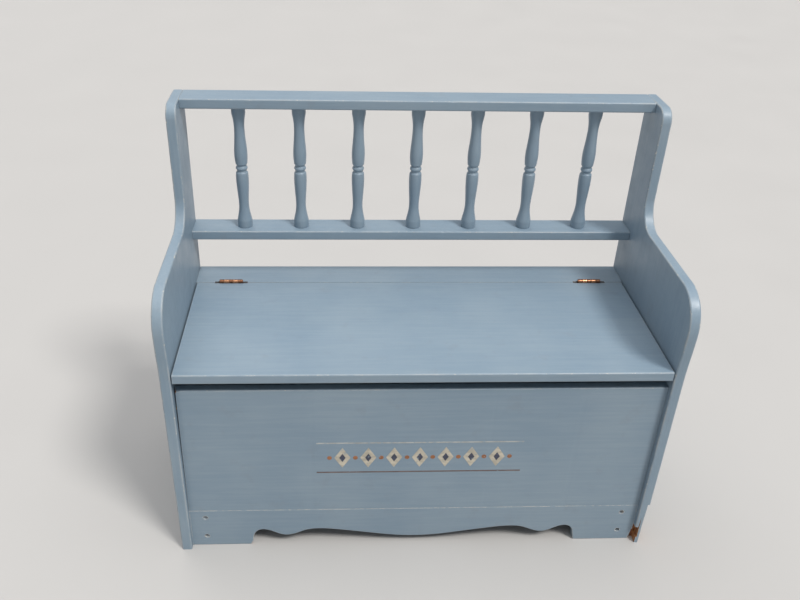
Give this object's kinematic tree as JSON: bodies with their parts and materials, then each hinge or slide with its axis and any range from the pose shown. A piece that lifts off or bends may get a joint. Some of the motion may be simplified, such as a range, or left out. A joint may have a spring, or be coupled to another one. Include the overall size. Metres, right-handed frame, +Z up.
{
  "type": "wooden toy box",
  "caption": "Painted wooden toy box that doubles as a bench: hinged seat lid, curved side arms, a spindle back rest and a scalloped apron.",
  "frame": {"origin": "on the floor, at the middle of the overall width and depth", "axes": "+X to the right as seen from the front, +Y to the back, +Z up"},
  "size_m": [0.914, 0.389, 0.798],
  "materials": {
    "blue_painted_wood": "satin enamel paint",
    "bare_wood": "raw",
    "coppered_hinge": "worn coppered steel",
    "hinge_screw_steel": "coppered",
    "screw_steel": "painted over"
  },
  "bodies": {
    "box": {"apron_screws": "screw_steel", "back_panel": "blue_painted_wood", "back_panel_dowels": "bare_wood", "bottom_cleat_front": "blue_painted_wood", "bottom_cleat_left": "blue_painted_wood", "bottom_cleat_right": "blue_painted_wood", "bottom_panel": "blue_painted_wood", "bottom_panel_screws": "screw_steel", "cleat_screws": "screw_steel", "corner_block_left": "blue_painted_wood", "corner_block_right": "blue_painted_wood", "corner_block_screws": "screw_steel", "front_apron": "blue_painted_wood", "front_panel": "blue_painted_wood", "front_panel_dowels": "bare_wood", "hinge_leaf_fixed_left": "coppered_hinge", "hinge_leaf_fixed_right": "coppered_hinge", "hinge_pin_left": "coppered_hinge", "hinge_pin_right": "coppered_hinge", "hinge_screws_fixed": "hinge_screw_steel", "lower_rail": "blue_painted_wood", "rail_dowels": "bare_wood", "rear_seat_strip": "blue_painted_wood", "seat_cleat_left": "blue_painted_wood", "seat_cleat_right": "blue_painted_wood", "side_panel_left": "blue_painted_wood", "side_panel_right": "blue_painted_wood", "spindle_1": "blue_painted_wood", "spindle_2": "blue_painted_wood", "spindle_3": "blue_painted_wood", "spindle_4": "blue_painted_wood", "spindle_5": "blue_painted_wood", "spindle_6": "blue_painted_wood", "spindle_7": "blue_painted_wood", "strip_screws": "screw_steel", "top_rail": "blue_painted_wood"},
    "lid": {"seat_lid": "blue_painted_wood", "hinge_leaf_moving_left": "coppered_hinge", "hinge_leaf_moving_right": "coppered_hinge", "hinge_screws_moving": "hinge_screw_steel"}
  },
  "joints": [
    {"name": "lid_hinge", "type": "hinge", "parent": "box", "child": "lid", "pos_m": [0, 0.1269, 0.4255], "axis": [-1, 0, 0], "range_deg": [0, 96]}
  ]
}
